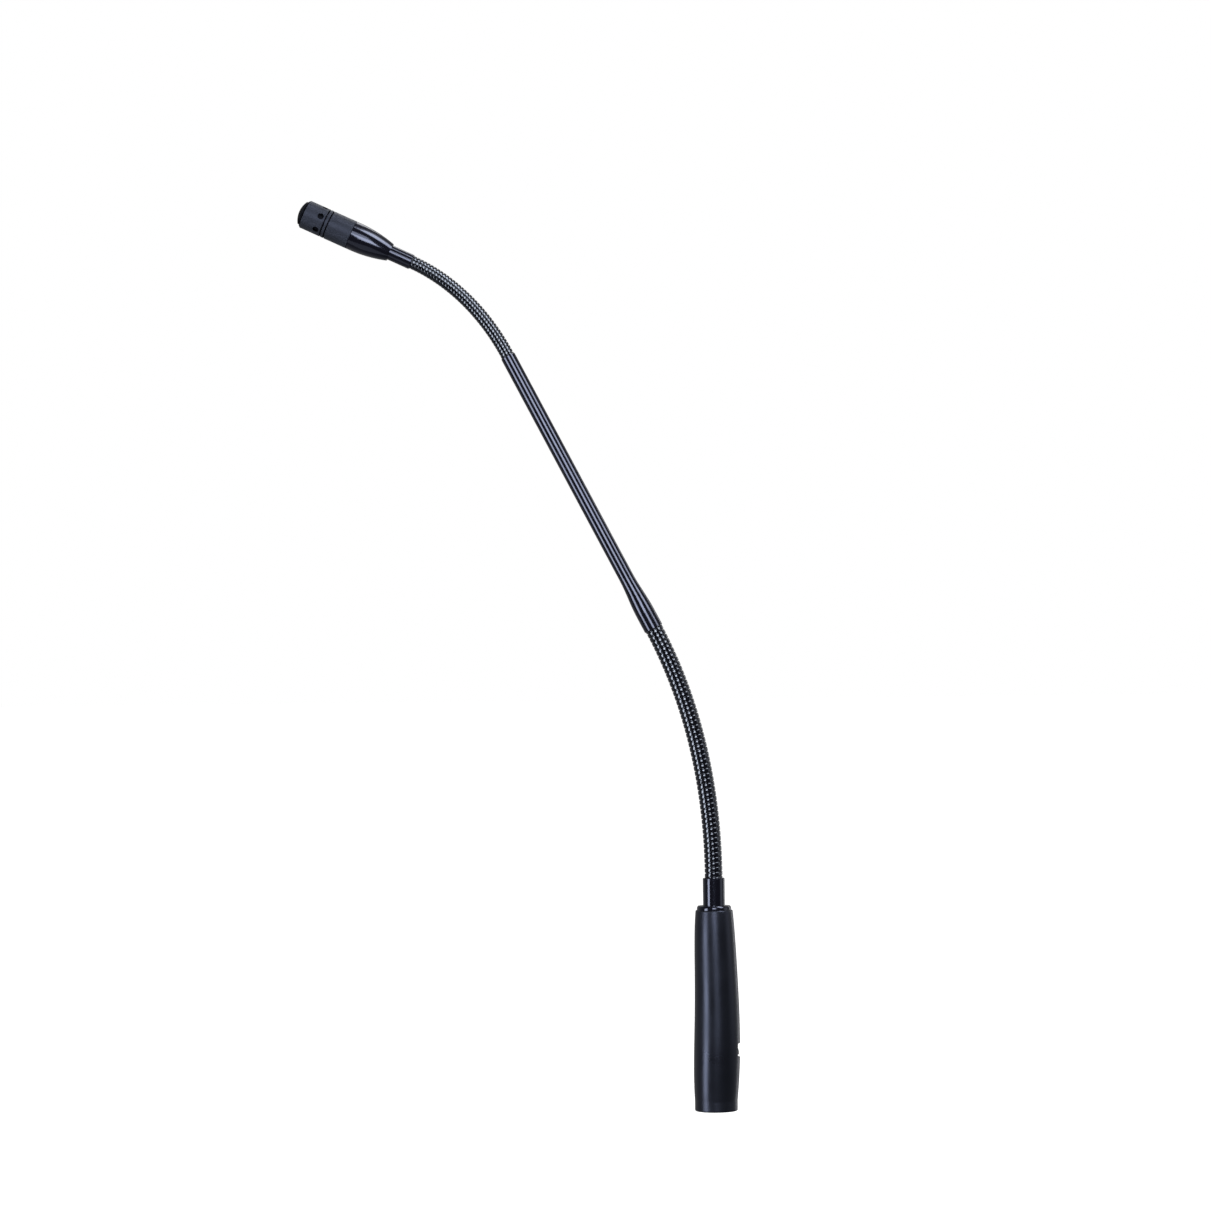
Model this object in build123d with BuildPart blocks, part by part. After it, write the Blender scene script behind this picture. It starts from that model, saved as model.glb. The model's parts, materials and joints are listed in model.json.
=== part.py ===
"""A gooseneck podium microphone: an XLR plug handle, two goosenecks with a rigid stem between, a condenser head.

Millimetres. The origin is the middle of the plug's mouth, +Z runs up the handle's axis, and at rest both
necks bend towards -X. Everything beyond the handle is placed by planes whose Z runs along the microphone.
"""

import os
from math import cos, pi, radians, sin, tan

from build123d import *

os.makedirs("parts", exist_ok=True)

# The handle, a hollow casting whose grip bulges towards the switch
foot_radius, foot_height = 9.4, 4.5
handle_height, handle_top_radius = 88.0, 8.15
grip_sections = ((15.8, 10.02, 0.3), (29.7, 10.12, 0.65), (45.5, 9.8, 0.75), (65.3, 9.3, 0.42))
plug_bore_radius, plug_depth = 8.1, 15.5
board_bore_radius, board_bore_top = 7.6, 60.0
throat_radius, throat_slope, end_wall_height = 6.6, 3.0, 82.7
rim_round, mouth_bevel = 0.6, 0.3

# The plug's insert, its screw and its three contacts, a quarter turn apart
insert_height = 6.0
contact_radius, contact_tip, contact_top = 1.2, 3.0, 24.5
contact_shank_radius = 1.65
contact_circle, contact_angles = 4.05, (90, 270, 180)
solder_cup_radius, solder_cup_depth = 0.8, 2.5
latch_width, latch_depth, latch_low, latch_high = 4.0, 0.7, 4.0, 8.0
key_width, key_height, key_drop = 1.8, 1.2, 3.0
screw_radius, screw_slot = 1.25, 0.4
spring_wall, spring_gap, spring_height = 0.6, 2.0, 0.5

# The circuit board in the handle and what it carries
board_face, board_thickness, board_width = 2.6, 1.2, 11.0
board_low, board_high, board_corner = 25.5, 74.0, 0.5
electrolytic_radius, electrolytic_low, electrolytic_height = 2.1, 36.0, 11.0
electrolytic_offset, electrolytic_round = 2.3, 0.3
film_length, film_width, film_thickness, film_heights = 5.0, 7.0, 2.5, (36.5, 44.5)
transistor_low, transistor_height, transistor_radius, transistor_offset = 51.8, 4.6, 2.2, 2.6
resistor_low, resistor_spacing, resistor_count = 52.0, 3.0, 4
resistor_radius, resistor_length = 0.8, 5.2
clip_low, clip_high, clip_height, clip_wall = 49.0, 57.5, 1.6, 0.5
clip_radius, clip_bore = 7.55, 5.9
connector_low, connector_depth, connector_width = 66.0, 4.0, 6.0

# The recessed slide switch
window_width, window_height, window_middle, window_corner = 9.0, 6.2, 26.6, 0.8
switch_width, switch_height, switch_face = 6.8, 9.4, 5.9
cover_radius, cover_inner, cover_height, cover_half_angle = 7.55, 6.95, 8.6, 44
slot_width, slot_height, slot_floor = 4.6, 2.2, 4.4
slider_width, slider_height, slider_foot = 2.0, 1.8, 4.7
nub_width, nub_height, nub_foot, nub_face, nub_offset = 4.0, 3.7, 7.9, 10.1, -1.0
nub_slope_depth, nub_slope_height = 0.5, 2.4

# The fixing at the handle's top
spigot_radius, spigot_foot, cable_hole = 3.2, 76.7, 1.5
nut_height, nut_radius, washer_radius, washer_height = 3.6, 5.7, 5.4, 0.6
collar_radius, collar_top_radius, collar_height, collar_side, collar_round = 7.55, 7.0, 1.9, 0.7, 1.6
sleeve_radius, sleeve_top, sleeve_seat = 4.8, 102.0, 94.5

# The goosenecks, as short stiff lengths with a joint between each two
joints_per_neck, bend_growth = 8, 0.2
lower_length, lower_bend = 113.8, 27.5
upper_length, upper_bend = 60.4, 37.5
lower_wire = {"crest": 3.88, "valley": 3.5, "bore": 1.9, "pitch": 2.17, "gap": 0.6}
upper_wire = {"crest": 2.95, "valley": 2.65, "bore": 1.5, "pitch": 1.615, "gap": 0.5}
end_slope, seat_clearance = 0.27, 0.05
stem_seat, head_seat = 6.0, 5.0

# The rigid stem between the necks, with a bush behind each neck's seat
stem_length, stem_radius, stem_bore, stem_bevel = 136.5, 3.3, 2.6, 0.25
flare_radius, flare_length, taper_end = 4.28, 8.0, 25.7
bush_length, bush_bore, bush_lip = 10.0, 1.25, 1.0

# The head, by distances from the upper neck's end
head_sleeve_radius, head_sleeve_length = 3.35, 10.5
tail_radius, tail_length = 2.2, 5.0
ferrule_end, ferrule_small_radius, ferrule_radius, ferrule_land = 29.2, 3.97, 6.42, 1.8
ferrule_cavity_radius, ferrule_cavity_start, ferrule_cavity_full = 4.4, 17.0, 22.0
spigot_end, inner_radius = 32.0, 5.5
gasket_end, gasket_bore, fet_board_end, fet_board_radius = 33.0, 4.6, 34.0, 5.4
joint_distance, cap_end = 41.85, 52.2
band_distance, groove_width, groove_depth, front_bevel = 40.1, 0.6, 0.25, 0.7
nose_radius, nose_end = 6.0, 42.5
port_distance, port_radius, port_count, first_port = 44.25, 1.4, 6, -77
screen_thickness, screen_start, screen_end = 0.25, 41.5, 46.4
lip_start, lip_radius = 51.3, 5.32
dome_radius, dome_foot, dome_height, dome_wall = 5.27, 52.95, 1.5, 0.35
flange_thickness, foam_radius = 0.35, 4.7
can_start, can_end, can_radius, can_wall, can_mouth = 46.5, 50.5, 4.85, 0.35, 2.6
ring_bore, ring_thickness, diaphragm_thickness, air_gap = 3.7, 0.4, 0.1, 0.2
plate_radius, plate_thickness, capsule_board_thickness = 3.9, 0.9, 0.8
vent_radius, plate_vents, plate_vent_circle, board_vents, board_vent_circle = 0.35, 6, 2.2, 4, 3.2
fet_radius, fet_offset, fet_height = 1.9, 1.8, 3.0
fet_resistor_width, fet_resistor_length, fet_resistor_offset = 1.6, 3.2, -2.2
cable_radius = 1.1


def beyond(plane, distance):
    """The plane this far along another's axis."""
    return Plane(plane.origin + plane.z_dir * distance, x_dir=plane.x_dir, z_dir=plane.z_dir)


def bent(plane, length, angle):
    """The plane at the end of an arc that starts along another's axis and turns towards its -X side."""
    turn = radians(angle)
    radius = length / turn
    back, along = radius * (cos(turn) - 1), radius * sin(turn)
    return Plane(
        plane.origin + plane.x_dir * back + plane.z_dir * along,
        x_dir=plane.x_dir * cos(turn) + plane.z_dir * sin(turn),
        z_dir=plane.z_dir * cos(turn) - plane.x_dir * sin(turn),
    )


def neck_planes(start, length, bend):
    """A bent neck's arcs, one to a joint: the planes at their ends, and the planes on the joints."""
    ends, joints = [start], []
    for number in range(joints_per_neck):
        growth = 1 + bend_growth * (2 * number + 1 - joints_per_neck) / joints_per_neck
        step, turn = length / joints_per_neck, bend * growth / joints_per_neck
        joints.append(bent(ends[-1], step / 2, turn / 2))
        ends.append(bent(ends[-1], step, turn))
    return ends, joints


def turning(plane):
    """The plane for a turned profile: its X is the radius, and its Y runs along the other plane's axis."""
    return Plane(plane.origin, x_dir=plane.x_dir, z_dir=-plane.y_dir)


def axis_of(plane):
    return Axis(plane.origin, plane.z_dir)


def save(part, name):
    part.label = name
    export_step(part, f"parts/{name}.step")


def turned(plane, *corners):
    """A piece turned about a plane's axis from straight lines between (radius, distance) corners."""
    with BuildPart() as piece:
        with BuildSketch(turning(plane)):
            with BuildLine():
                Polyline(*corners, close=True)
            make_face()
        revolve(axis=axis_of(plane))
    return piece.part


def ring(plane, outer, inner, start, end):
    """A plain ring or, with no inner radius, a disc."""
    return turned(plane, (inner, start), (outer, start), (outer, end), (inner, end))


# ---- the handle and the plug in its foot ------------------------------------------------------------------

with BuildPart() as handle_shell:
    with BuildSketch():
        Circle(foot_radius)
    extrude(amount=foot_height)
    fillet(handle_shell.edges().group_by(Axis.Z)[0], rim_round)
    with BuildSketch(Plane.XY.offset(foot_height)):
        Circle(foot_radius)
    for height, radius, shift in grip_sections:
        with BuildSketch(Plane.XY.offset(height)):
            with Locations((shift, 0)):
                Circle(radius)
    with BuildSketch(Plane.XY.offset(handle_height)):
        Circle(handle_top_radius)
    loft()
    fillet(handle_shell.edges().group_by(Axis.Z)[-1], rim_round)
    # the stepped bore: the plug's cavity, the board's space, the throat and the hole in the end wall
    with BuildSketch(Plane.XZ):
        with BuildLine():
            Polyline(
                (0, 0),
                (plug_bore_radius + mouth_bevel, 0),
                (plug_bore_radius, mouth_bevel),
                (plug_bore_radius, plug_depth + insert_height),
                (board_bore_radius, plug_depth + insert_height),
                (board_bore_radius, board_bore_top),
                (throat_radius, board_bore_top + throat_slope),
                (throat_radius, end_wall_height),
                (spigot_radius, end_wall_height),
                (spigot_radius, handle_height),
                (0, handle_height),
                close=True,
            )
        make_face()
    revolve(axis=Axis.Z, mode=Mode.SUBTRACT)
    # the pocket that a cable socket's latch drops into
    with BuildSketch(Plane.YZ.offset(plug_bore_radius - latch_depth)):
        with Locations((0, (latch_low + latch_high) / 2)):
            Rectangle(latch_width, latch_high - latch_low)
    extrude(amount=2 * latch_depth, mode=Mode.SUBTRACT)
    # the switch's window
    with BuildSketch(Plane.YZ.offset(board_bore_radius / 2)):
        with Locations((0, window_middle)):
            RectangleRounded(window_width, window_height, window_corner)
    extrude(amount=foot_radius, mode=Mode.SUBTRACT)
    # the insert's screw hole, in the back
    with BuildSketch(Plane.XZ.offset(-plug_bore_radius + screw_radius)):
        with Locations((0, plug_depth + insert_height / 2)):
            Circle(screw_radius)
    extrude(amount=-foot_radius, mode=Mode.SUBTRACT)
save(handle_shell.part, "handle_shell")

with BuildPart() as xlr_insert:
    with BuildSketch(Plane.XY.offset(plug_depth)):
        Circle(plug_bore_radius)
        with PolarLocations(contact_circle, len(contact_angles), 90, 180, endpoint=True):
            Circle(contact_shank_radius, mode=Mode.SUBTRACT)
    extrude(amount=insert_height)
    # the keyway ridge on the cavity's floor
    with BuildSketch(Plane.XY.offset(plug_depth)):
        with Locations((plug_bore_radius - key_height, 0)):
            Rectangle(key_height, key_width)
    extrude(amount=-key_drop)
    # the blind hole for the screw
    with BuildSketch(Plane.XZ.offset(-plug_bore_radius + screw_radius)):
        with Locations((0, plug_depth + insert_height / 2)):
            Circle(screw_radius)
    extrude(amount=-screw_radius * 2, mode=Mode.SUBTRACT)
save(xlr_insert.part, "xlr_insert")

for number, angle in enumerate(contact_angles, start=1):
    place = (contact_circle * cos(radians(angle)), contact_circle * sin(radians(angle)))
    with BuildPart() as contact_pin:
        with BuildSketch(Plane.XY.offset(contact_tip)):
            with Locations(place):
                Circle(contact_radius)
        extrude(amount=plug_depth - contact_tip)
        fillet(contact_pin.edges().group_by(Axis.Z)[0], contact_radius / 2)
        # the thicker shank that the insert holds, which ends in the solder cup
        with BuildSketch(Plane.XY.offset(plug_depth)):
            with Locations(place):
                Circle(contact_shank_radius)
        extrude(amount=contact_top - plug_depth)
        with BuildSketch(Plane.XY.offset(contact_top)):
            with Locations(place):
                Circle(solder_cup_radius)
        extrude(amount=-solder_cup_depth, mode=Mode.SUBTRACT)
    save(contact_pin.part, f"contact_pin_{number}")

with BuildPart() as insert_screw:
    with BuildSketch(Plane.XZ.offset(-plug_bore_radius + screw_radius)):
        with Locations((0, plug_depth + insert_height / 2)):
            Circle(screw_radius)
    extrude(amount=-(foot_radius - plug_bore_radius + screw_radius))
    with BuildSketch(Plane.XZ.offset(-foot_radius)):
        with Locations((0, plug_depth + insert_height / 2)):
            Rectangle(2 * screw_radius, screw_slot)
    extrude(amount=screw_slot, mode=Mode.SUBTRACT)
save(insert_screw.part, "insert_screw")

# a sprung ring on top of the insert that earths the handle
with BuildPart() as ground_spring:
    with BuildSketch(Plane.XY.offset(plug_depth + insert_height)):
        Circle(board_bore_radius)
        Circle(board_bore_radius - spring_wall, mode=Mode.SUBTRACT)
        with Locations((-board_bore_radius, 0)):
            Rectangle(spring_gap, spring_gap, mode=Mode.SUBTRACT)
    extrude(amount=spring_height)
save(ground_spring.part, "ground_spring")

# ---- the circuit in the handle ----------------------------------------------------------------------------

with BuildPart() as preamp_board:
    with BuildSketch(Plane.YZ.offset(board_face - board_thickness)):
        with Locations((0, (board_low + board_high) / 2)):
            Rectangle(board_width, board_high - board_low)
    extrude(amount=board_thickness)
    fillet(preamp_board.edges().filter_by(Axis.X), board_corner)
save(preamp_board.part, "preamp_board")

with BuildPart() as electrolytic_capacitors:
    with BuildSketch(Plane.XY.offset(electrolytic_low)):
        for side in (-1, 1):
            with Locations((board_face + electrolytic_radius, side * electrolytic_offset)):
                Circle(electrolytic_radius)
    extrude(amount=electrolytic_height)
    fillet(electrolytic_capacitors.edges().group_by(Axis.Z)[-1], electrolytic_round)
save(electrolytic_capacitors.part, "electrolytic_capacitors")

with BuildPart() as film_capacitors:
    with BuildSketch(Plane.YZ.offset(board_face - board_thickness)):
        with Locations(*[(0, height) for height in film_heights]):
            RectangleRounded(film_width, film_length, board_corner)
    extrude(amount=-film_thickness)
save(film_capacitors.part, "film_capacitors")

# half-round cases, flat sides on the board
with BuildPart() as output_transistors:
    with BuildSketch(Plane.XY.offset(transistor_low)):
        with Locations((board_face, -transistor_offset), (board_face, transistor_offset)):
            Circle(transistor_radius)
        with Locations((board_face - transistor_radius, 0)):
            Rectangle(2 * transistor_radius, board_width, mode=Mode.SUBTRACT)
    extrude(amount=transistor_height)
save(output_transistors.part, "output_transistors")

with BuildPart() as resistors:
    with BuildSketch(Plane.XZ.offset(-resistor_length / 2)):
        for row in range(resistor_count):
            place = (board_face - board_thickness - resistor_radius, resistor_low + row * resistor_spacing)
            with Locations(place):
                Circle(resistor_radius)
    extrude(amount=resistor_length)
save(resistors.part, "resistors")

with BuildPart() as cable_connector:
    with BuildSketch(Plane.YZ.offset(board_face - board_thickness)):
        with Locations((0, (connector_low + board_high) / 2)):
            Rectangle(connector_width, board_high - connector_low)
    extrude(amount=-connector_depth)
save(cable_connector.part, "cable_connector")

# two identical rings that centre the board in the bore
with BuildPart() as board_clips:
    for height in (clip_low, clip_high):
        with BuildSketch(Plane.XY.offset(height)):
            Circle(clip_radius)
            Circle(clip_bore, mode=Mode.SUBTRACT)
            with Locations((board_face - board_thickness / 2, 0)):
                Rectangle(board_thickness, 2 * (clip_radius - clip_wall), mode=Mode.SUBTRACT)
        extrude(amount=clip_height)
save(board_clips.part, "board_clips")

# ---- the low-cut switch ----------------------------------------------------------------------------------

with BuildPart() as switch_body:
    with BuildSketch(Plane.YZ.offset(board_face)):
        with Locations((0, window_middle)):
            Rectangle(switch_width, switch_height)
    extrude(amount=switch_face - board_face)
    with BuildSketch(Plane.YZ.offset(switch_face)):
        with Locations((0, window_middle)):
            Rectangle(slot_width, slot_height)
    extrude(amount=slot_floor - switch_face, mode=Mode.SUBTRACT)
save(switch_body.part, "switch_body")

# a dark curved plate that closes the window behind the nub
with BuildPart() as switch_cover:
    with BuildSketch(Plane.XY.offset(window_middle - cover_height / 2)):
        Circle(cover_radius)
        Circle(cover_inner, mode=Mode.SUBTRACT)
        with BuildLine():
            far = 2 * cover_radius
            rise = far * tan(radians(cover_half_angle))
            Polyline((0, 0), (far, -rise), (far, rise), close=True)
        make_face(mode=Mode.INTERSECT)
    extrude(amount=cover_height)
    with BuildSketch(Plane.YZ.offset(switch_face)):
        with Locations((0, window_middle)):
            Rectangle(slot_width, slot_height)
    extrude(amount=2 * (cover_radius - switch_face), mode=Mode.SUBTRACT)
save(switch_cover.part, "switch_cover")

with BuildPart() as switch_slider:
    with BuildSketch(Plane.YZ.offset(slider_foot)):
        with Locations((nub_offset, window_middle)):
            Rectangle(slider_width, slider_height)
    extrude(amount=nub_foot - slider_foot)
    with BuildSketch(Plane.YZ.offset(nub_foot)):
        with Locations((nub_offset, window_middle)):
            Rectangle(nub_width, nub_height)
    extrude(amount=nub_face - nub_foot)
    # its outer face slopes away at the top
    slope_edge = switch_slider.edges().group_by(Axis.X)[-1].sort_by(Axis.Z)[-1]
    chamfer(slope_edge, nub_slope_depth, nub_slope_height)
save(switch_slider.part, "switch_slider")

# ---- the fixing at the handle's top -----------------------------------------------------------------------

save(
    turned(
        Plane.XY,
        (cable_hole, spigot_foot),
        (spigot_radius, spigot_foot),
        (spigot_radius, handle_height + collar_height),
        (sleeve_radius, handle_height + collar_height),
        (sleeve_radius, sleeve_top - stem_bevel),
        (sleeve_radius - stem_bevel, sleeve_top),
        (lower_wire["crest"] + seat_clearance, sleeve_top),
        (lower_wire["crest"] + seat_clearance, sleeve_seat),
        (cable_hole, sleeve_seat),
    ),
    "lower_sleeve",
)

with BuildPart() as collar_ring:
    with BuildSketch(Plane.XZ):
        with BuildLine():
            collar_top, collar_shoulder = handle_height + collar_height, handle_height + collar_side
            Polyline(
                (spigot_radius, collar_top),
                (spigot_radius, handle_height),
                (collar_radius, handle_height),
                (collar_radius, collar_shoulder),
            )
            RadiusArc((collar_radius, collar_shoulder), (collar_top_radius, collar_top), -collar_round)
            Line((collar_top_radius, collar_top), (spigot_radius, collar_top))
        make_face()
    revolve(axis=Axis.Z)
save(collar_ring.part, "collar_ring")

washer_foot = end_wall_height - washer_height
save(ring(Plane.XY, washer_radius, spigot_radius, washer_foot, end_wall_height), "lock_washer")

with BuildPart() as sleeve_nut:
    with BuildSketch(Plane.XY.offset(washer_foot - nut_height)):
        RegularPolygon(nut_radius, 6)
        Circle(spigot_radius, mode=Mode.SUBTRACT)
    extrude(amount=nut_height)
save(sleeve_nut.part, "sleeve_nut")

# ---- the goosenecks -----------------------------------------------------------------------------------------


def neck_link(plane, start, end, wire, seated_start=False, seated_end=False):
    """A stiff length of a neck, ribbed by its wire, with ends that slope back where it meets a joint."""
    slope = end_slope * (wire["valley"] - wire["bore"])
    low, high = start + slope * (not seated_start), end - slope * (not seated_end)
    ribs = int((high - low) / wire["pitch"])
    first = (low + high - ribs * wire["pitch"]) / 2
    with BuildPart() as link:
        with BuildSketch(turning(plane)):
            with BuildLine():
                Polyline((wire["bore"], start), (wire["valley"], low), (wire["valley"], first))
                for rib in range(ribs):
                    foot = first + rib * wire["pitch"]
                    middle, top = foot + wire["pitch"] / 2, foot + wire["pitch"]
                    ThreePointArc((wire["valley"], foot), (wire["crest"], middle), (wire["valley"], top))
                Polyline(
                    (wire["valley"], first + ribs * wire["pitch"]),
                    (wire["valley"], high),
                    (wire["bore"], end),
                    (wire["bore"], start),
                )
            make_face()
        revolve(axis=axis_of(plane))
    return link.part


def save_neck(name, ends, length, wire, seat_below, seat_above):
    """Writes a neck's links, the first and last of them seated in the pieces that they are fixed to."""
    reach = length / joints_per_neck / 2 - wire["gap"]
    last = len(ends) - 1
    for number, plane in enumerate(ends):
        start = -seat_below if number == 0 else -reach
        end = seat_above if number == last else reach
        link = neck_link(plane, start, end, wire, number == 0, number == last)
        save(link, f"{name}_neck_link_{number + 1}")


sleeve_mouth = Plane.XY.offset(sleeve_top)
lower_ends, lower_joints = neck_planes(sleeve_mouth, lower_length, lower_bend)
stem_foot_plane = lower_ends[-1]
stem_top_plane = beyond(stem_foot_plane, stem_length)
upper_ends, upper_joints = neck_planes(stem_top_plane, upper_length, upper_bend)
head = upper_ends[-1]

save_neck("lower", lower_ends, lower_length, lower_wire, sleeve_top - sleeve_seat, stem_seat)
save_neck("upper", upper_ends, upper_length, upper_wire, stem_seat, head_seat)

# ---- the stem -----------------------------------------------------------------------------------------------

lower_seat_radius = lower_wire["crest"] + seat_clearance
upper_seat_radius = upper_wire["crest"] + seat_clearance
with BuildPart() as stem_tube:
    with BuildSketch(turning(stem_foot_plane)):
        with BuildLine():
            Polyline(
                (flare_radius, flare_length),
                (flare_radius, stem_bevel),
                (flare_radius - stem_bevel, 0),
                (lower_seat_radius, 0),
                (lower_seat_radius, stem_seat),
                (stem_bore, stem_seat),
                (stem_bore, stem_length - stem_seat),
                (upper_seat_radius, stem_length - stem_seat),
                (upper_seat_radius, stem_length),
                (stem_radius - stem_bevel, stem_length),
                (stem_radius, stem_length - stem_bevel),
                (stem_radius, taper_end),
            )
            Spline((stem_radius, taper_end), (flare_radius, flare_length), tangents=((0, -1), (0, -1)))
        make_face()
    revolve(axis=axis_of(stem_foot_plane))
save(stem_tube.part, "stem_tube")


def bush(plane, lip_radius):
    """A bush in the stem with a spigot that reaches back into a neck's bore."""
    return turned(
        plane,
        (bush_bore, bush_lip),
        (lip_radius, bush_lip),
        (lip_radius, stem_seat),
        (stem_bore, stem_seat),
        (stem_bore, stem_seat + bush_length),
        (bush_bore, stem_seat + bush_length),
    )


stem_top_down = Plane(stem_top_plane.origin, x_dir=stem_top_plane.x_dir, z_dir=-stem_top_plane.z_dir)
save(bush(stem_foot_plane, lower_wire["bore"]), "stem_lower_bush")
save(bush(stem_top_down, upper_wire["bore"]), "stem_upper_bush")

# ---- the head -----------------------------------------------------------------------------------------------

save(
    turned(
        head,
        (cable_hole, head_seat),
        (upper_seat_radius, head_seat),
        (upper_seat_radius, 0),
        (head_sleeve_radius - stem_bevel, 0),
        (head_sleeve_radius, stem_bevel),
        (head_sleeve_radius, head_sleeve_length),
        (tail_radius, head_sleeve_length),
        (tail_radius, head_sleeve_length + tail_length),
        (cable_hole, head_sleeve_length + tail_length),
    ),
    "upper_sleeve",
)

with BuildPart() as ferrule:
    with BuildSketch(turning(head)):
        with BuildLine():
            land_start = ferrule_end - ferrule_land
            TangentArc(
                (ferrule_radius, land_start), (ferrule_small_radius, head_sleeve_length), tangent=(0, -1)
            )
            Polyline(
                (ferrule_small_radius, head_sleeve_length),
                (tail_radius, head_sleeve_length),
                (tail_radius, ferrule_cavity_start),
                (ferrule_cavity_radius, ferrule_cavity_full),
                (ferrule_cavity_radius, spigot_end),
                (inner_radius, spigot_end),
                (inner_radius, ferrule_end),
                (ferrule_radius - stem_bevel, ferrule_end),
                (ferrule_radius, ferrule_end - stem_bevel),
                (ferrule_radius, land_start),
            )
        make_face()
    revolve(axis=axis_of(head))
save(ferrule.part, "ferrule")

groove_floor = ferrule_radius - groove_depth
save(
    turned(
        head,
        (inner_radius, ferrule_end),
        (ferrule_radius, ferrule_end),
        (ferrule_radius, band_distance - groove_width / 2),
        (groove_floor, band_distance - groove_width / 2),
        (groove_floor, band_distance + groove_width / 2),
        (ferrule_radius, band_distance + groove_width / 2),
        (ferrule_radius, joint_distance - groove_width / 2),
        (groove_floor, joint_distance - groove_width / 2),
        (groove_floor, joint_distance),
        (nose_radius, joint_distance),
        (nose_radius, nose_end),
        (inner_radius, nose_end),
    ),
    "capsule_housing",
)

with BuildPart() as front_cap:
    with BuildSketch(turning(head)):
        with BuildLine():
            Polyline(
                (nose_radius, joint_distance),
                (groove_floor, joint_distance),
                (groove_floor, joint_distance + groove_width / 2),
                (ferrule_radius, joint_distance + groove_width / 2),
                (ferrule_radius, cap_end - front_bevel),
                (ferrule_radius - front_bevel, cap_end),
                (lip_radius, cap_end),
                (lip_radius, lip_start),
                (inner_radius, lip_start),
                (inner_radius, nose_end),
                (nose_radius, nose_end),
                close=True,
            )
        make_face()
    revolve(axis=axis_of(head))
    for number in range(port_count):
        angle = radians(first_port + number * 360 / port_count)
        outward = head.x_dir * cos(angle) + head.y_dir * sin(angle)
        with BuildSketch(Plane(beyond(head, port_distance).origin, x_dir=head.z_dir, z_dir=outward)):
            Circle(port_radius)
        extrude(amount=2 * ferrule_radius, mode=Mode.SUBTRACT)
save(front_cap.part, "front_cap")

with BuildPart() as front_grille:
    with BuildSketch(turning(head)):
        with BuildLine():
            flange_start = lip_start - flange_thickness
            inner_dome = dome_radius - dome_wall
            bulge = (dome_radius**2 + dome_height**2) / (2 * dome_height)
            RadiusArc((0, dome_foot + dome_height), (dome_radius, dome_foot), bulge)
            Polyline(
                (dome_radius, dome_foot),
                (dome_radius, lip_start),
                (inner_radius, lip_start),
                (inner_radius, flange_start),
                (inner_dome, flange_start),
                (inner_dome, dome_foot - dome_wall),
            )
            inner_bulge = (inner_dome**2 + dome_height**2) / (2 * dome_height)
            inner_tip = dome_foot + dome_height - dome_wall
            RadiusArc((inner_dome, dome_foot - dome_wall), (0, inner_tip), -inner_bulge)
            Line((0, inner_tip), (0, dome_foot + dome_height))
        make_face()
    revolve(axis=axis_of(head))
save(front_grille.part, "front_grille")

inner_side = inner_radius - screen_thickness
diaphragm_end = can_end - can_wall - ring_thickness
plate_end = diaphragm_end - diaphragm_thickness - air_gap
board_end = can_start + capsule_board_thickness
can_bore = can_radius - can_wall
save(ring(head, foam_radius, 0, flange_start, dome_foot - dome_wall), "grille_foam")
save(ring(head, inner_radius, inner_side, screen_start, screen_end), "port_screen")
save(ring(head, inner_radius, can_radius, can_start, flange_start), "capsule_seat")
save(ring(head, can_bore, ring_bore, diaphragm_end, diaphragm_end + ring_thickness), "diaphragm_ring")
save(ring(head, can_bore, 0, diaphragm_end - diaphragm_thickness, diaphragm_end), "diaphragm")
save(ring(head, can_bore, plate_radius, board_end, diaphragm_end - diaphragm_thickness), "insulator_ring")
save(ring(head, inner_radius, gasket_bore, spigot_end, gasket_end), "rear_gasket")
save(ring(head, fet_board_radius, 0, gasket_end, fet_board_end), "fet_board")
save(
    turned(
        head,
        (can_radius, can_start),
        (can_radius, can_end),
        (can_mouth, can_end),
        (can_mouth, can_end - can_wall),
        (can_bore, can_end - can_wall),
        (can_bore, can_start),
    ),
    "capsule_can",
)


def vented_disc(radius, start, end, vents, vent_circle):
    """A disc in the capsule with a ring of small holes through it."""
    with BuildPart() as disc:
        with BuildSketch(beyond(head, start)):
            Circle(radius)
            with PolarLocations(vent_circle, vents):
                Circle(vent_radius, mode=Mode.SUBTRACT)
        extrude(amount=end - start)
    return disc.part


plate_start = plate_end - plate_thickness
save(vented_disc(plate_radius, plate_start, plate_end, plate_vents, plate_vent_circle), "backplate")
save(vented_disc(can_bore, can_start, board_end, board_vents, board_vent_circle), "capsule_board")

# the input transistor and its resistor, on the board behind the capsule
with BuildPart() as fet_components:
    with BuildSketch(beyond(head, fet_board_end)):
        with Locations((fet_offset, 0)):
            Circle(fet_radius)
        with Locations((fet_resistor_offset, 0)):
            Rectangle(fet_resistor_width, fet_resistor_length)
    extrude(amount=fet_height)
save(fet_components.part, "fet_components")

# ---- the screened cable from the head to the handle ---------------------------------------------------------

cable_start = Plane.XY.offset(board_high)
with BuildPart() as signal_cable:
    with BuildLine() as cable_route:
        Line(cable_start.origin, sleeve_mouth.origin)
        for ends, joints in ((lower_ends, lower_joints), (upper_ends, upper_joints)):
            for here, middle, there in zip(ends, joints, ends[1:]):
                ThreePointArc(here.origin, middle.origin, there.origin)
            if ends is lower_ends:
                Line(stem_foot_plane.origin, stem_top_plane.origin)
        Line(head.origin, beyond(head, gasket_end).origin)
    with BuildSketch(cable_start):
        Circle(cable_radius)
    sweep()
save(signal_cable.part, "signal_cable")

route_edges = cable_route.edges()
route_length = sum(edge.length for edge in route_edges)
arc_radii = sorted({round(edge.radius) for edge in route_edges if edge.geom_type == GeomType.CIRCLE})
print("cable length", round(route_length, 1), "arc radii", arc_radii)
print("cable volume", round(signal_cable.part.volume, 1), "expected", round(pi * cable_radius**2 * route_length, 1))
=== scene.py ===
import json
import math

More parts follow.
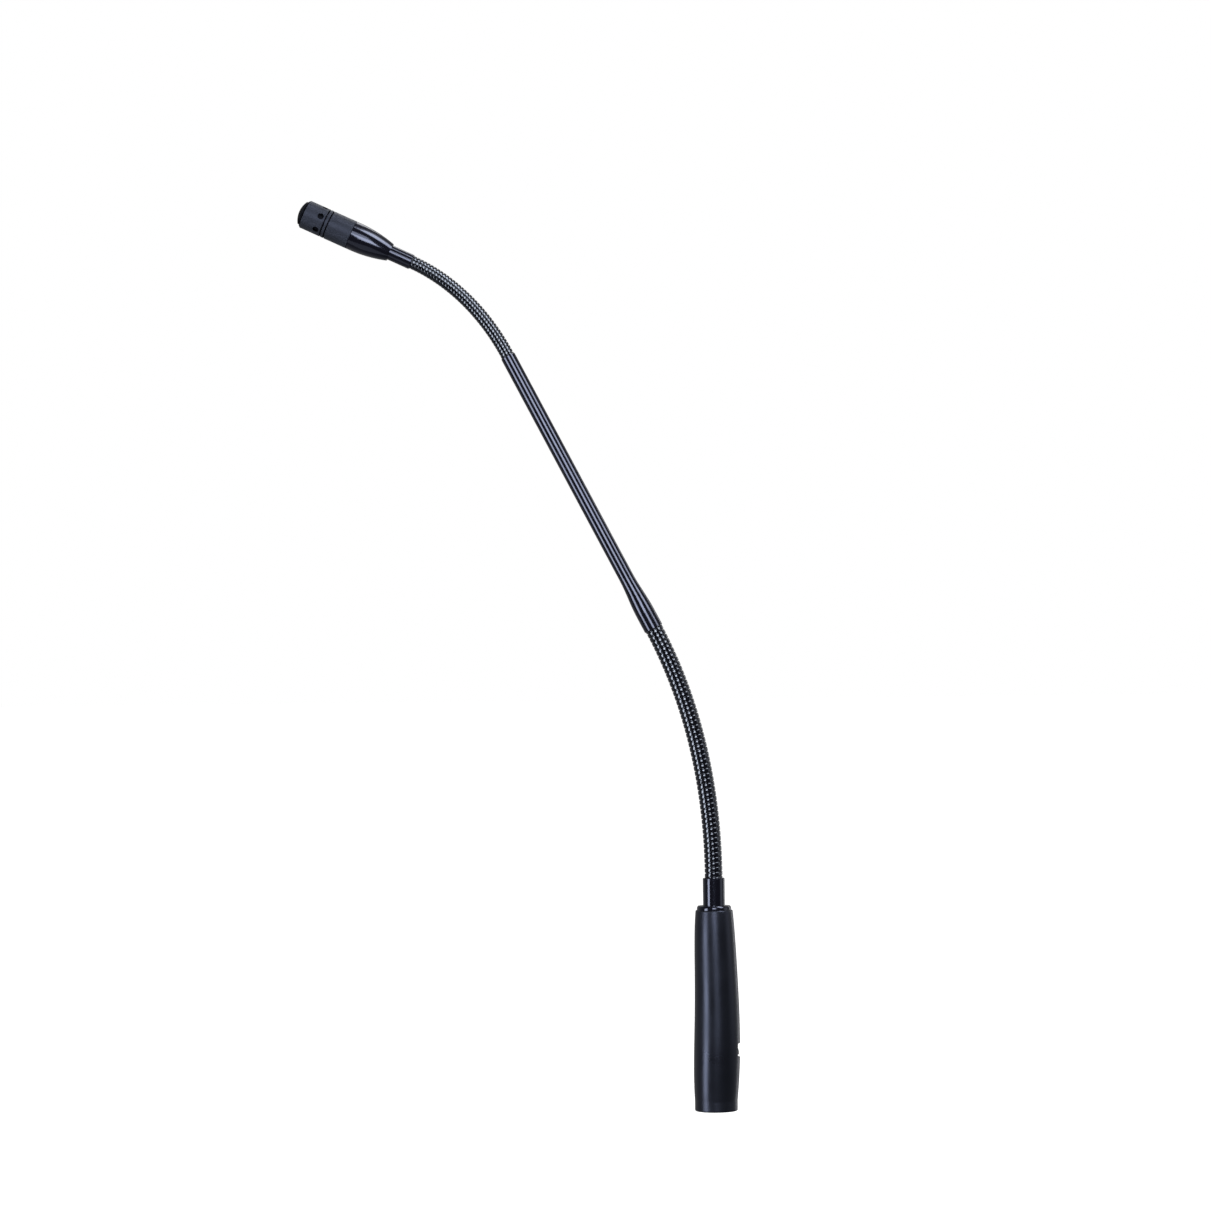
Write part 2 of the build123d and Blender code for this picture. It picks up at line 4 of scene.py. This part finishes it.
import bmesh
import bpy
import numpy as np
from mathutils import Matrix, Vector


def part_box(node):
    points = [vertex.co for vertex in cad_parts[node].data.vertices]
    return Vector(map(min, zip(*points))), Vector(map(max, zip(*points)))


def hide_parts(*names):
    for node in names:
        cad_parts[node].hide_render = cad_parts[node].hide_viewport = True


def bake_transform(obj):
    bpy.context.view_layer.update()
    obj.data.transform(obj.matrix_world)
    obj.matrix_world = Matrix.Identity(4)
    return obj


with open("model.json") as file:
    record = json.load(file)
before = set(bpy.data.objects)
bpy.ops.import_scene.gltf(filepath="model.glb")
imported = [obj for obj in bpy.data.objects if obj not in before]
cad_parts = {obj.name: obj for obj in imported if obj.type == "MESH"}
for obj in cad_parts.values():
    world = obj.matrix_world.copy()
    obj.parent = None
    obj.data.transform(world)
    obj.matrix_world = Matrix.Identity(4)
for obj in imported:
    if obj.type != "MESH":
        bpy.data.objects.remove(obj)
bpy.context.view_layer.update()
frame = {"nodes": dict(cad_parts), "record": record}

MM = 0.001
nodes = frame["nodes"]

# ---- the middle line ------------------------------------------------------------------------------------
# Distances along the microphone run from the lower sleeve's mouth, and are negative down in the handle. The
# bend of each neck grows evenly along it, as the places of the CAD joints do.
SLEEVE_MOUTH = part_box("lower_sleeve")[1].z
LOWER_LENGTH, LOWER_BEND = 113.8 * MM, math.radians(27.5)
STEM_LENGTH = 136.5 * MM
UPPER_LENGTH, UPPER_BEND = 60.4 * MM, math.radians(37.5)
BEND_GROWTH = 0.2
NECK_JOINTS = 8
STEM_END = LOWER_LENGTH + STEM_LENGTH
HEAD_START = STEM_END + UPPER_LENGTH
LINE_STEP = 0.1 * MM
LINE_IN_HEAD = 60 * MM


def heading(distance):
    """How far the line has turned from +Z towards -X at these distances."""
    lower = np.clip(distance / LOWER_LENGTH, 0, 1)
    upper = np.clip((distance - STEM_END) / UPPER_LENGTH, 0, 1)
    return (LOWER_BEND * (lower + BEND_GROWTH * (lower**2 - lower))
            + UPPER_BEND * (upper + BEND_GROWTH * (upper**2 - upper)))


line_at = np.arange(-SLEEVE_MOUTH, HEAD_START + LINE_IN_HEAD, LINE_STEP)
step_heading = heading(line_at[:-1] + LINE_STEP / 2)
line_x = np.concatenate([[0], -np.cumsum(np.sin(step_heading)) * LINE_STEP])
line_z = np.concatenate([[0], np.cumsum(np.cos(step_heading)) * LINE_STEP])


def stations(distances):
    """The line's points at these distances, and its directions there: across, sideways and forward."""
    distances = np.atleast_1d(np.asarray(distances, float))
    turn = heading(distances)
    zero, one = np.zeros_like(turn), np.ones_like(turn)
    point = np.stack([np.interp(distances, line_at, line_x), zero, np.interp(distances, line_at, line_z)], -1)
    across = np.stack([np.cos(turn), zero, np.sin(turn)], -1)
    sideways = np.stack([zero, one, zero], -1)
    forward = np.stack([-np.sin(turn), zero, np.cos(turn)], -1)
    return point, across, sideways, forward


def point_at(distance):
    return Vector(stations(distance)[0][0])


# ---- mesh helpers ---------------------------------------------------------------------------------------
MERGE_DISTANCE = 1e-7
SHARP_ANGLE = math.radians(60)
# how much of a profile's side the arc at one of its corners may take
CORNER_SHARE = 0.4


def piece_from(name, points, faces, material):
    """A mesh piece, smooth shaded except at its sharp edges, with its normals facing outwards."""
    mesh = bpy.data.meshes.new(name)
    mesh.from_pydata([tuple(p) for p in points], [], faces)
    work = bmesh.new()
    work.from_mesh(mesh)
    bmesh.ops.remove_doubles(work, verts=work.verts, dist=MERGE_DISTANCE)
    bmesh.ops.recalc_face_normals(work, faces=work.faces)
    work.to_mesh(mesh)
    work.free()
    mesh.shade_smooth()
    mesh.set_sharp_from_angle(angle=SHARP_ANGLE)
    mesh.materials.append(material)
    obj = bpy.data.objects.new(name, mesh)
    bpy.context.scene.collection.objects.link(obj)
    return obj


def swept(name, points, outward, other, section, material):
    """A capped piece swept along points.

    Each corner of the section is an offset in the two directions that every point has of its own.
    """
    section = np.asarray(section, float)
    count, sides = len(points), len(section)
    rings = points[:, None] + outward[:, None] * section[None, :, :1] + other[:, None] * section[None, :, 1:]
    faces = []
    for ring in range(count - 1):
        low, high = ring * sides, (ring + 1) * sides
        faces += [(low + k, low + (k + 1) % sides, high + (k + 1) % sides, high + k) for k in range(sides)]
    faces += [tuple(range(sides)), tuple(range((count - 1) * sides, count * sides))]
    return piece_from(name, rings.reshape(-1, 3), faces, material)


def circle_section(radius, sides):
    turn = np.arange(sides) * 2 * math.pi / sides
    return np.stack([np.cos(turn), np.sin(turn)], -1) * radius


def rounded(corners, rounding, steps):
    """The corners of a closed profile with each one turned into a small arc."""
    corners = np.asarray(corners, float)
    made = []
    for before, here, after in zip(np.roll(corners, 1, 0), corners, np.roll(corners, -1, 0)):
        back, on = before - here, after - here
        back_length, on_length = np.linalg.norm(back), np.linalg.norm(on)
        reach = min(rounding, CORNER_SHARE * back_length, CORNER_SHARE * on_length)
        start = here + back / back_length * reach
        end = here + on / on_length * reach
        for t in np.linspace(0, 1, steps + 1):
            made.append((1 - t) ** 2 * start + 2 * t * (1 - t) * here + t**2 * end)
    return np.array(made)


# ---- materials ------------------------------------------------------------------------------------------
# Painted shade: below the head's outer surface, in its grooves and ports, the colour turns black and reflects
# nothing between these two depths.
HEAD_RADIUS = 6.42 * MM
GROOVE_EDGE, GROOVE_DARK = 0.08 * MM, 0.14 * MM
HOLLOW_SHADE_BLACK = (0.002, 0.002, 0.003, 1)
COAT_ROUGHNESS = 0.08
# The base colour drifts by this share between broad patches of this size.
COLOUR_DRIFT, PATCH_SIZE = 0.15, 18 * MM
PATCH_DETAIL, GRAIN_DETAIL = 3, 4
# From low to high patches the roughness goes between these shares of what a finish asks for.
PATCH_LOW, PATCH_HIGH = 0.3, 0.7
SMOOTH_SHARE, ROUGH_SHARE = 0.85, 1.2
# Dust lies where the grain is highest, and its colour is made from the finish's own.
FLECK_START, FLECK_FULL = 0.72, 0.78
DUST_GAIN, DUST_LIFT = 4, 0.03
# Bumps are this share of the grain's size high.
BUMP_DEPTH = 0.2


def outer_share(tree, where):
    """0 at points that lie below the head's outer surface and 1 on it, across the head's own axis."""
    aligned = tree.nodes.new("ShaderNodeMapping")
    aligned.vector_type = "TEXTURE"
    aligned.inputs["Location"].default_value = point_at(HEAD_START)
    aligned.inputs["Rotation"].default_value = (0, -float(heading(HEAD_START)), 0)
    flat = tree.nodes.new("ShaderNodeVectorMath")
    flat.operation = "MULTIPLY"
    flat.inputs[1].default_value = (1, 1, 0)
    radius = tree.nodes.new("ShaderNodeVectorMath")
    radius.operation = "LENGTH"
    share = tree.nodes.new("ShaderNodeMapRange")
    share.inputs["From Min"].default_value = HEAD_RADIUS - GROOVE_DARK
    share.inputs["From Max"].default_value = HEAD_RADIUS - GROOVE_EDGE
    tree.links.new(where.outputs["Object"], aligned.inputs["Vector"])
    tree.links.new(aligned.outputs[0], flat.inputs[0])
    tree.links.new(flat.outputs[0], radius.inputs[0])
    tree.links.new(radius.outputs["Value"], share.inputs["Value"])
    return share.outputs["Result"]


def material(name, colour, roughness, grain, bump, metallic=0.0, coat=0.0, tint=None, fleck=0.0,
             specular=0.5, painted_hollow_shade=False):
    """A procedural finish: its colour and roughness drift a little in broad patches, and its grain is bumpy.

    grain is the texture's size in mm, bump its strength, and fleck how strongly its paler dust specks show. A
    hollow-shaded finish has painted shade: dull black without reflection below the head's outer surface, in
    its grooves and ports.
    """
    mat = bpy.data.materials.new(name)
    mat.use_nodes = True
    tree = mat.node_tree
    link = tree.links.new
    shader = tree.nodes["Principled BSDF"]
    shader.inputs["Metallic"].default_value = metallic
    shader.inputs["Coat Weight"].default_value = coat
    shader.inputs["Coat Roughness"].default_value = COAT_ROUGHNESS
    shader.inputs["Specular IOR Level"].default_value = specular
    if tint:
        shader.inputs["Specular Tint"].default_value = (*tint, 1)
    where = tree.nodes.new("ShaderNodeTexCoord")
    fine = tree.nodes.new("ShaderNodeTexNoise")
    fine.inputs["Scale"].default_value = 1 / (grain * MM)
    fine.inputs["Detail"].default_value = GRAIN_DETAIL
    broad = tree.nodes.new("ShaderNodeTexNoise")
    broad.inputs["Scale"].default_value = 1 / PATCH_SIZE
    broad.inputs["Detail"].default_value = PATCH_DETAIL
    link(where.outputs["Object"], fine.inputs["Vector"])
    link(where.outputs["Object"], broad.inputs["Vector"])
    drift = tree.nodes.new("ShaderNodeMix")
    drift.data_type = "RGBA"
    drift.inputs["A"].default_value = (*(c * (1 - COLOUR_DRIFT) for c in colour), 1)
    drift.inputs["B"].default_value = (*(c * (1 + COLOUR_DRIFT) for c in colour), 1)
    link(broad.outputs["Fac"], drift.inputs["Factor"])
    colour_out = drift.outputs["Result"]
    if fleck:
        spots = tree.nodes.new("ShaderNodeMapRange")
        spots.inputs["From Min"].default_value = FLECK_START
        spots.inputs["From Max"].default_value = FLECK_FULL
        spots.inputs["To Max"].default_value = fleck
        link(fine.outputs["Fac"], spots.inputs["Value"])
        dust = tree.nodes.new("ShaderNodeMix")
        dust.data_type = "RGBA"
        dust.inputs["B"].default_value = (*(min(1, c * DUST_GAIN + DUST_LIFT) for c in colour), 1)
        link(spots.outputs["Result"], dust.inputs["Factor"])
        link(colour_out, dust.inputs["A"])
        colour_out = dust.outputs["Result"]
    # painted shade: the head's grooves and ports are made black and reflect nothing
    if painted_hollow_shade:
        outer = outer_share(tree, where)
        dark = tree.nodes.new("ShaderNodeMix")
        dark.data_type = "RGBA"
        dark.inputs["A"].default_value = HOLLOW_SHADE_BLACK
        link(outer, dark.inputs["Factor"])
        link(colour_out, dark.inputs["B"])
        colour_out = dark.outputs["Result"]
        shine = tree.nodes.new("ShaderNodeMath")
        shine.operation = "MULTIPLY"
        shine.inputs[1].default_value = specular
        link(outer, shine.inputs[0])
        link(shine.outputs[0], shader.inputs["Specular IOR Level"])
    link(colour_out, shader.inputs["Base Color"])
    rough = tree.nodes.new("ShaderNodeMapRange")
    rough.inputs["From Min"].default_value = PATCH_LOW
    rough.inputs["From Max"].default_value = PATCH_HIGH
    rough.inputs["To Min"].default_value = roughness * SMOOTH_SHARE
    rough.inputs["To Max"].default_value = min(1, roughness * ROUGH_SHARE)
    link(broad.outputs["Fac"], rough.inputs["Value"])
    link(rough.outputs["Result"], shader.inputs["Roughness"])
    dents = tree.nodes.new("ShaderNodeBump")
    dents.inputs["Strength"].default_value = bump
    dents.inputs["Distance"].default_value = grain * MM * BUMP_DEPTH
    link(fine.outputs["Fac"], dents.inputs["Height"])
    link(dents.outputs["Normal"], shader.inputs["Normal"])
    return mat


VIOLET, PALE_BLUE = (0.58, 0.67, 1.0), (0.74, 0.83, 1.0)
HANDLE_PAINT = material("handle_paint", (0.0052, 0.0058, 0.0082), 0.31, grain=0.35, bump=0.12, tint=VIOLET,
                        fleck=0.5, specular=0.42)
GLOSS_BLACK = material("gloss_black", (0.004, 0.004, 0.007), 0.13, grain=0.6, bump=0.03, tint=VIOLET,
                       coat=0.2)
NECK_WIRE = material("neck_wire", (0.003, 0.003, 0.005), 0.1, grain=0.25, bump=0.05, tint=PALE_BLUE,
                     specular=0.9)
# the head's finish has painted shade in its grooves and ports
HEAD_MATTE = material("head_matte", (0.0135, 0.0155, 0.0215), 0.46, grain=0.2, bump=0.02, tint=VIOLET,
                      specular=0.35, painted_hollow_shade=True)
GRILLE_BLACK = material("grille_black", (0.0015, 0.0015, 0.002), 0.5, grain=0.1, bump=0.05, tint=VIOLET,
                        specular=0.1)
CONTACT_GOLD = material("contact_gold", (0.9, 0.62, 0.24), 0.22, metallic=1, grain=0.4, bump=0.04)
INSERT_PLASTIC = material("insert_plastic", (0.018, 0.018, 0.019), 0.5, grain=0.3, bump=0.15)
STEEL = material("steel", (0.5, 0.5, 0.52), 0.3, metallic=1, grain=0.3, bump=0.08)
BRASS = material("brass", (0.72, 0.5, 0.2), 0.3, metallic=1, grain=0.5, bump=0.05)
BOARD_GREEN = material("board_green", (0.015, 0.1, 0.04), 0.35, grain=0.6, bump=0.1)
COMPONENT = material("component_body", (0.03, 0.03, 0.05), 0.3, grain=0.4, bump=0.05)
CAPSULE_SHELL = material("capsule_shell", (0.7, 0.7, 0.72), 0.35, metallic=1, grain=0.2, bump=0.1)
RUBBER = material("rubber_black", (0.012, 0.012, 0.012), 0.75, grain=0.25, bump=0.2)
FOAM = material("foam_black", (0.008, 0.008, 0.008), 0.95, grain=0.3, bump=1.0)
FILM = material("film", (0.7, 0.68, 0.6), 0.15, metallic=1, grain=1, bump=0.02)
SWITCH_PLASTIC = material("switch_plastic", (0.01, 0.01, 0.011), 0.4, grain=0.25, bump=0.15)
CABLE_JACKET = material("cable_jacket", (0.015, 0.015, 0.016), 0.6, grain=0.4, bump=0.2)

SLOT_MATERIALS = {
    "handle_paint": HANDLE_PAINT, "gloss_black": GLOSS_BLACK, "neck_wire": NECK_WIRE,
    "head_matte": HEAD_MATTE, "grille_black": GRILLE_BLACK, "contact_gold": CONTACT_GOLD,
    "insert_plastic": INSERT_PLASTIC, "steel": STEEL, "brass_parts": BRASS, "board_green": BOARD_GREEN,
    "component_body": COMPONENT, "capsule_shell": CAPSULE_SHELL, "rubber_black": RUBBER,
    "foam_black": FOAM, "film": FILM, "switch_plastic": SWITCH_PLASTIC, "cable_jacket": CABLE_JACKET,
}
for subpart in frame["record"]["subparts"]:
    node = nodes[subpart["node"]]
    node.data.materials.clear()
    node.data.materials.append(SLOT_MATERIALS[subpart["material_slot"]])

# ---- the goosenecks -------------------------------------------------------------------------------------
# Each neck is a flattened wire and a wedge wire wound together, cut into one piece of each for every joint. A
# cut is at the middle of a stiff length, where both pieces follow the same body. The sizes of the wires are
# shares of the pitch. A neck's crest is how far its outer surface is from the middle line, its wires run on
# into its neighbours below and above, and steps are counted per turn.
WIRE_WIDTH, WIRE_DEPTH = 0.88, 0.6
WIRE_ROUNDING, WIRE_ARC_STEPS = 0.2, 4
# Half of the wedge wire, as (out from the crest, along the neck). Its back, a little below the crest, shows
# as a dark line between the flattened wire's turns.
WEDGE_HALF = [(-0.26, 0.12), (-0.45, 0.08), (-0.62, 0.05)]
WEDGE_ROUNDING, WEDGE_ARC_STEPS = 0.06, 2
LOWER = {"name": "lower", "start": 0.0, "length": LOWER_LENGTH, "crest": 3.92 * MM, "pitch": 2.17 * MM,
         "below": 7.4 * MM, "above": 5.8 * MM, "bodies": ["handle", "stem"], "steps": 40}
UPPER = {"name": "upper", "start": STEM_END, "length": UPPER_LENGTH, "crest": 2.98 * MM, "pitch": 1.615 * MM,
         "below": 5.8 * MM, "above": 4.8 * MM, "bodies": ["stem", "head"], "steps": 32}
CABLE_RADIUS, CABLE_SIDES, CABLE_STEP = 1.1 * MM, 16, 0.8 * MM


def winding(name, neck, start, end, reach, phase, section):
    """A wire wound about the line between two distances, its section's middle this far from the line."""
    turns = (end - start) / neck["pitch"]
    distance = np.linspace(start, end, int(turns * neck["steps"]) + 2)
    point, across, sideways, forward = stations(distance)
    turn = (2 * math.pi * (distance - neck["start"]) / neck["pitch"] + phase)[:, None]
    outward = np.cos(turn) * across + np.sin(turn) * sideways
    round_the_line = np.cos(turn) * sideways - np.sin(turn) * across
    along = reach * round_the_line + neck["pitch"] / (2 * math.pi) * forward
    along /= np.linalg.norm(along, axis=1)[:, None]
    other = np.cross(along, outward)
    return swept(name, point + reach * outward, outward, other, section, NECK_WIRE)


def neck_pieces(neck):
    """The wires and the cable of a neck, each piece lying across its own joint."""
    name, crest, pitch = neck["name"], neck["crest"], neck["pitch"]
    depth, width = WIRE_DEPTH * pitch / 2, WIRE_WIDTH * pitch / 2
    flat = [(-depth, -width), (-depth, width), (depth, width), (depth, -width)]
    flat_section = rounded(flat, WIRE_ROUNDING * pitch, WIRE_ARC_STEPS)
    mirrored = [(out, -along) for out, along in WEDGE_HALF]
    wedge = mirrored[:1] + WEDGE_HALF + mirrored[:0:-1]
    wedge_section = rounded(wedge, WEDGE_ROUNDING, WEDGE_ARC_STEPS) * pitch
    for n in range(NECK_JOINTS):
        at_foot, at_top = n == 0, n == NECK_JOINTS - 1
        low, high = (neck["start"] + neck["length"] * k / NECK_JOINTS for k in (n, n + 1))
        start = low - neck["below"] if at_foot else low
        end = high + neck["above"] if at_top else high
        made = [
            winding(f"{name}_neck_flat_wire_{n + 1}", neck, start, end, crest - depth, 0, flat_section),
            winding(f"{name}_neck_wedge_wire_{n + 1}", neck, start, end, crest, math.pi, wedge_section),
        ]
        # a neck has one link more than it has joints, and its last piece stands for two of them
        first, last = n + 1, n + 2 if at_top else n + 1
        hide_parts(*(f"{name}_neck_link_{k}" for k in range(first, last + 1)))
        cable_start = CABLE_ENDS[name][0] if at_foot else start
        cable_end = CABLE_ENDS[name][1] if at_top else end
        made.append(cable_piece(f"signal_cable_{name}_{n + 1}", cable_start, cable_end))
        for obj in made:
            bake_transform(obj)


def cable_piece(name, start, end):
    """A length of the screened cable between two distances."""
    distance = np.linspace(start, end, int((end - start) / CABLE_STEP))
    point, across, sideways, _ = stations(distance)
    obj = swept(name, point, across, sideways, circle_section(CABLE_RADIUS, CABLE_SIDES), CABLE_JACKET)
    return obj


CABLE_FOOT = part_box("signal_cable")[0].z - SLEEVE_MOUTH
CABLE_JOIN = LOWER_LENGTH + STEM_LENGTH / 2
CABLE_TOP = HEAD_START + 33 * MM
CABLE_ENDS = {"lower": (CABLE_FOOT, CABLE_JOIN), "upper": (CABLE_JOIN, CABLE_TOP)}
neck_pieces(LOWER)
neck_pieces(UPPER)
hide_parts("signal_cable")

# ---- floor, light and camera ----------------------------------------------------------------------------
scene = bpy.context.scene
scene.view_settings.view_transform = "Standard"


def camera_ray_mix(tree, seen, unseen, target):
    """Shows one shader to the camera and gives the other one to the light that the object reflects."""
    path = tree.nodes.new("ShaderNodeLightPath")
    chooser = tree.nodes.new("ShaderNodeMixShader")
    tree.links.new(path.outputs["Is Camera Ray"], chooser.inputs[0])
    tree.links.new(unseen.outputs[0], chooser.inputs[1])
    tree.links.new(seen.outputs[0], chooser.inputs[2])
    tree.links.new(chooser.outputs[0], target)


WHITE = (1, 1, 1, 1)
FLOOR_GREY = (0.35, 0.35, 0.35, 1)
FLOOR_GLOW = 1.0
FLOOR_REACH = 60.0
floor_mat = bpy.data.materials.new("floor_white")
floor_mat.use_nodes = True
tree = floor_mat.node_tree
seen = tree.nodes["Principled BSDF"]
seen.inputs["Base Color"].default_value = FLOOR_GREY
seen.inputs["Roughness"].default_value = 1
seen.inputs["Specular IOR Level"].default_value = 0
seen.inputs["Emission Color"].default_value = WHITE
seen.inputs["Emission Strength"].default_value = FLOOR_GLOW
clear = tree.nodes.new("ShaderNodeBsdfTransparent")
# the floor is seen from above only, and the object doesn't reflect it
side = tree.nodes.new("ShaderNodeNewGeometry")
one_sided = tree.nodes.new("ShaderNodeMixShader")
tree.links.new(side.outputs["Backfacing"], one_sided.inputs[0])
tree.links.new(seen.outputs[0], one_sided.inputs[1])
tree.links.new(clear.outputs[0], one_sided.inputs[2])
camera_ray_mix(tree, one_sided, clear, tree.nodes["Material Output"].inputs["Surface"])
corners = [(x * FLOOR_REACH, y * FLOOR_REACH, 0) for x, y in ((-1, -1), (1, -1), (1, 1), (-1, 1))]
floor = piece_from("floor", corners, [(0, 1, 2, 3)], floor_mat)

# The surroundings are white to the camera. The object reflects a dim room that grows lighter from front to
# back, where a depth is the Y part of the direction.
FRONT_LIGHT, BACK_LIGHT = 0.03, 0.3
FRONT_DEPTH, BACK_DEPTH = -0.3, 0.6
world = bpy.data.worlds.new("studio")
scene.world = world
world.use_nodes = True
tree = world.node_tree
room = tree.nodes["Background"]
room.inputs["Color"].default_value = WHITE
where = tree.nodes.new("ShaderNodeTexCoord")
split = tree.nodes.new("ShaderNodeSeparateXYZ")
depth = tree.nodes.new("ShaderNodeMapRange")
depth.inputs["From Min"].default_value = FRONT_DEPTH
depth.inputs["From Max"].default_value = BACK_DEPTH
depth.inputs["To Min"].default_value = FRONT_LIGHT
depth.inputs["To Max"].default_value = BACK_LIGHT
tree.links.new(where.outputs["Generated"], split.inputs[0])
tree.links.new(split.outputs["Y"], depth.inputs["Value"])
tree.links.new(depth.outputs["Result"], room.inputs["Strength"])
backdrop = tree.nodes.new("ShaderNodeBackground")
backdrop.inputs["Color"].default_value = WHITE
camera_ray_mix(tree, backdrop, room, tree.nodes["World Output"].inputs["Surface"])

LIT_POINT = Vector((-0.06, 0, 0.25))
NEAR, FAR = 1.2, 1.5


def panel(name, azimuth, elevation, distance, size, brightness, lean=0):
    """A soft rectangular light that faces LIT_POINT.

    azimuth goes from the camera's side of the object towards +X, size is the light's width and height, and
    lean turns the light about the way it faces.
    """
    width, height = size
    light = bpy.data.lights.new(name, "AREA")
    light.shape = "RECTANGLE"
    light.size, light.size_y = width, height
    light.energy = brightness * width * height * math.pi
    obj = bpy.data.objects.new(name, light)
    scene.collection.objects.link(obj)
    obj.visible_camera = False
    side, rise = math.radians(azimuth), math.radians(elevation)
    out = Vector((math.sin(side) * math.cos(rise), -math.cos(side) * math.cos(rise), math.sin(rise)))
    facing = out.to_track_quat("Z", "Y").to_matrix().to_4x4()
    obj.location = LIT_POINT + out * distance
    obj.rotation_euler = (facing @ Matrix.Rotation(math.radians(lean), 4, "Z")).to_euler()


# the broad highlight along the left of every part
panel("strip", azimuth=-56, elevation=-11, distance=NEAR, size=(0.42, 0.84), brightness=9.5, lean=-18)
# the highlight down the middle
panel("front_low", azimuth=2, elevation=6.5, distance=FAR, size=(0.58, 0.5), brightness=11.0)
panel("front_high", azimuth=2, elevation=24, distance=FAR, size=(0.58, 0.46), brightness=4.6)
# the highlight along the right
panel("side", azimuth=57, elevation=45, distance=FAR, size=(0.62, 1.25), brightness=9.0, lean=6)
panel("overhead", azimuth=62, elevation=62, distance=FAR, size=(1.0, 0.6), brightness=1.5)
# weak light on the undersides, on the back and along the right edge
panel("table", azimuth=-35, elevation=-50, distance=NEAR, size=(0.9, 0.7), brightness=0.5)
panel("back", azimuth=178, elevation=55, distance=FAR, size=(0.6, 0.8), brightness=2.5)
panel("fill", azimuth=84, elevation=5, distance=FAR, size=(0.8, 0.9), brightness=0.7)
panel("rim", azimuth=133, elevation=2, distance=FAR, size=(0.22, 1.3), brightness=2.6)

# The camera looks at AIM, level with it but for a small rise, and sees VIEW_WIDTH across at its distance.
AIM = Vector((-46.2 * MM, 0, 222.35 * MM))
VIEW_WIDTH = 533.4455 * MM
CAMERA_DISTANCE, CAMERA_RISE, CAMERA_ROLL = 1.6, math.radians(-1.33), math.radians(0.65)
SENSOR_WIDTH = 36
CLIP_START, CLIP_END = 0.05, 100
camera = bpy.data.cameras.new("camera")
camera.sensor_width = SENSOR_WIDTH
camera.lens = SENSOR_WIDTH * CAMERA_DISTANCE / VIEW_WIDTH
camera.clip_start, camera.clip_end = CLIP_START, CLIP_END
camera_obj = bpy.data.objects.new("camera", camera)
scene.collection.objects.link(camera_obj)
scene.camera = camera_obj
back = Vector((0, -math.cos(CAMERA_RISE), math.sin(CAMERA_RISE)))
level = back.to_track_quat("Z", "Y").to_matrix().to_4x4()
camera_obj.location = AIM + back * CAMERA_DISTANCE
camera_obj.rotation_euler = (level @ Matrix.Rotation(-CAMERA_ROLL, 4, "Z")).to_euler()
